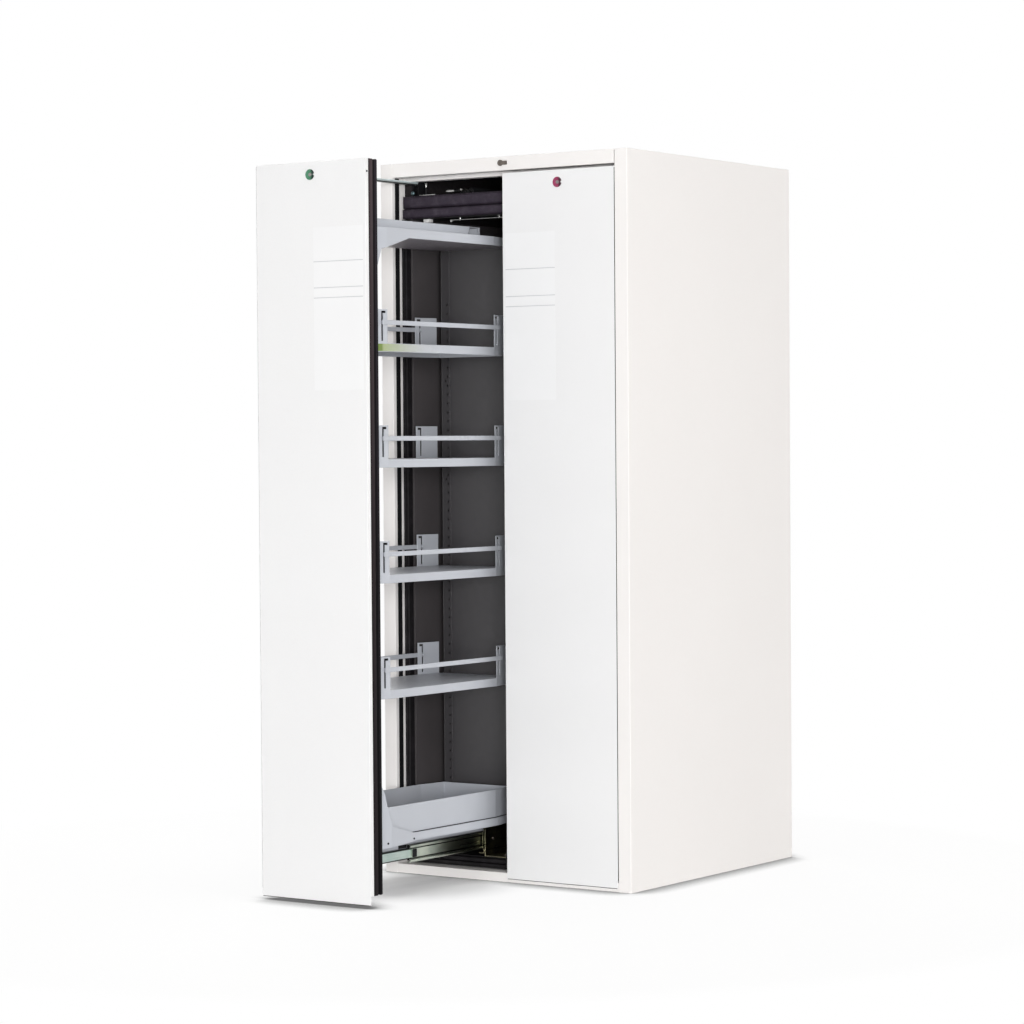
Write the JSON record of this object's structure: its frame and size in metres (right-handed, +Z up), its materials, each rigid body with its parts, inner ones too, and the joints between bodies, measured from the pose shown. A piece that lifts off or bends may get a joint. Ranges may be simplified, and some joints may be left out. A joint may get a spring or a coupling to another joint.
{
  "type": "flammable safety cabinet",
  "caption": "Upright fire-resistant cabinet with tall pull-out drawers on telescopic slides, each with railed shelves above a sump tray, for storing flammable liquids.",
  "frame": {"origin": "centre of the carcass footprint on the floor", "axes": "+Z up, drawer fronts toward -Y, +X to the right when facing the fronts"},
  "size_m": [0.81, 1.4565, 2.006],
  "materials": {
    "white_paint": "satin",
    "frame_grey": "satin",
    "liner_grey": "matte",
    "deck_black": "matte",
    "seal_dark": "matte",
    "board": "matte",
    "pad_rubber": "matte",
    "zinc": "satin",
    "duct_steel": "satin",
    "nickel": "polished"
  },
  "bodies": {
    "cabinet": {"left_side_panel": "white_paint", "right_side_panel": "white_paint", "rear_panel": "white_paint", "roof_panel": "white_paint", "base_frame": "white_paint", "base_pads": "pad_rubber", "fascia": "white_paint", "lintel": "white_paint", "insulation_boards": "board", "wall_liners": "liner_grey", "deck_liners": "deck_black", "centre_post": "liner_grey", "opening_seals": "seal_dark", "exhaust_spigot": "duct_steel", "slide_outers": "zinc", "slide_brackets": "zinc", "closing_gear": "zinc", "fascia_lock_housing": "nickel"},
    "left_drawer": {"left_front_skin": "white_paint", "left_front_insulation": "board", "left_front_seal": "seal_dark", "left_front_plate": "frame_grey", "left_back_plate": "frame_grey", "left_top_beam": "frame_grey", "left_base_beam": "frame_grey", "left_sump": "frame_grey", "left_shelf_1": "frame_grey", "left_shelf_2": "frame_grey", "left_shelf_3": "frame_grey", "left_shelf_4": "frame_grey", "left_slide_inner": "zinc", "left_guide_bar": "zinc"},
    "right_drawer": {"right_front_skin": "white_paint", "right_front_insulation": "board", "right_front_seal": "seal_dark", "right_front_plate": "frame_grey", "right_back_plate": "frame_grey", "right_top_beam": "frame_grey", "right_base_beam": "frame_grey", "right_sump": "frame_grey", "right_shelf_1": "frame_grey", "right_shelf_2": "frame_grey", "right_shelf_3": "frame_grey", "right_shelf_4": "frame_grey", "right_slide_inner": "zinc", "right_guide_bar": "zinc"},
    "left_slide_middle": {"left_slide_middle": "zinc"},
    "left_lock_core": {"left_lock_core": "nickel"},
    "left_shelf_1_rails": {"left_shelf_1_rails": "frame_grey"},
    "left_shelf_2_rails": {"left_shelf_2_rails": "frame_grey"},
    "left_shelf_3_rails": {"left_shelf_3_rails": "frame_grey"},
    "left_shelf_4_rails": {"left_shelf_4_rails": "frame_grey"},
    "right_slide_middle": {"right_slide_middle": "zinc"},
    "right_lock_core": {"right_lock_core": "nickel"},
    "right_shelf_1_rails": {"right_shelf_1_rails": "frame_grey"},
    "right_shelf_2_rails": {"right_shelf_2_rails": "frame_grey"},
    "right_shelf_3_rails": {"right_shelf_3_rails": "frame_grey"},
    "right_shelf_4_rails": {"right_shelf_4_rails": "frame_grey"},
    "fascia_lock_plug": {"fascia_lock_plug": "nickel"},
    "damper_flap": {"damper_flap": "zinc"}
  },
  "joints": [
    {"name": "left_drawer_slide", "type": "slide", "parent": "cabinet", "child": "left_drawer", "axis": [0, -1, 0], "range_m": [-0.595, 0]},
    {"name": "left_slide_middle_slide", "type": "slide", "parent": "cabinet", "child": "left_slide_middle", "axis": [0, -1, 0], "range_m": [-0.3395, 0]},
    {"name": "left_lock_turn", "type": "hinge", "parent": "left_drawer", "child": "left_lock_core", "pos_m": [-0.1845, -1.025, 1.888], "axis": [0, -1, 0], "range_deg": [0, 90]},
    {"name": "left_shelf_1_rails_lift", "type": "slide", "parent": "left_drawer", "child": "left_shelf_1_rails", "axis": [0, 0, 1], "range_m": [-0.04, 0.026]},
    {"name": "left_shelf_2_rails_lift", "type": "slide", "parent": "left_drawer", "child": "left_shelf_2_rails", "axis": [0, 0, 1], "range_m": [-0.04, 0.026]},
    {"name": "left_shelf_3_rails_lift", "type": "slide", "parent": "left_drawer", "child": "left_shelf_3_rails", "axis": [0, 0, 1], "range_m": [-0.04, 0.026]},
    {"name": "left_shelf_4_rails_lift", "type": "slide", "parent": "left_drawer", "child": "left_shelf_4_rails", "axis": [0, 0, 1], "range_m": [-0.04, 0.026]},
    {"name": "right_drawer_slide", "type": "slide", "parent": "cabinet", "child": "right_drawer", "axis": [0, -1, 0], "range_m": [0, 0.595]},
    {"name": "right_slide_middle_slide", "type": "slide", "parent": "cabinet", "child": "right_slide_middle", "axis": [0, -1, 0], "range_m": [0, 0.3395]},
    {"name": "right_lock_turn", "type": "hinge", "parent": "right_drawer", "child": "right_lock_core", "pos_m": [0.1845, -0.43, 1.888], "axis": [0, -1, 0], "range_deg": [0, 90]},
    {"name": "right_shelf_1_rails_lift", "type": "slide", "parent": "right_drawer", "child": "right_shelf_1_rails", "axis": [0, 0, 1], "range_m": [-0.04, 0.026]},
    {"name": "right_shelf_2_rails_lift", "type": "slide", "parent": "right_drawer", "child": "right_shelf_2_rails", "axis": [0, 0, 1], "range_m": [-0.04, 0.026]},
    {"name": "right_shelf_3_rails_lift", "type": "slide", "parent": "right_drawer", "child": "right_shelf_3_rails", "axis": [0, 0, 1], "range_m": [-0.04, 0.026]},
    {"name": "right_shelf_4_rails_lift", "type": "slide", "parent": "right_drawer", "child": "right_shelf_4_rails", "axis": [0, 0, 1], "range_m": [-0.04, 0.026]},
    {"name": "fascia_lock_turn", "type": "hinge", "parent": "cabinet", "child": "fascia_lock_plug", "pos_m": [0.0005, -0.43, 1.949], "axis": [0, -1, 0], "range_deg": [0, 90]},
    {"name": "damper_flap_turn", "type": "hinge", "parent": "cabinet", "child": "damper_flap", "pos_m": [0, 0.3, 1.925], "axis": [1, 0, 0], "range_deg": [0, 88]}
  ],
  "couplings": [
    {"joint": "left_slide_middle_slide", "follows": "left_drawer_slide", "ratio": 0.57},
    {"joint": "right_slide_middle_slide", "follows": "right_drawer_slide", "ratio": 0.57}
  ]
}
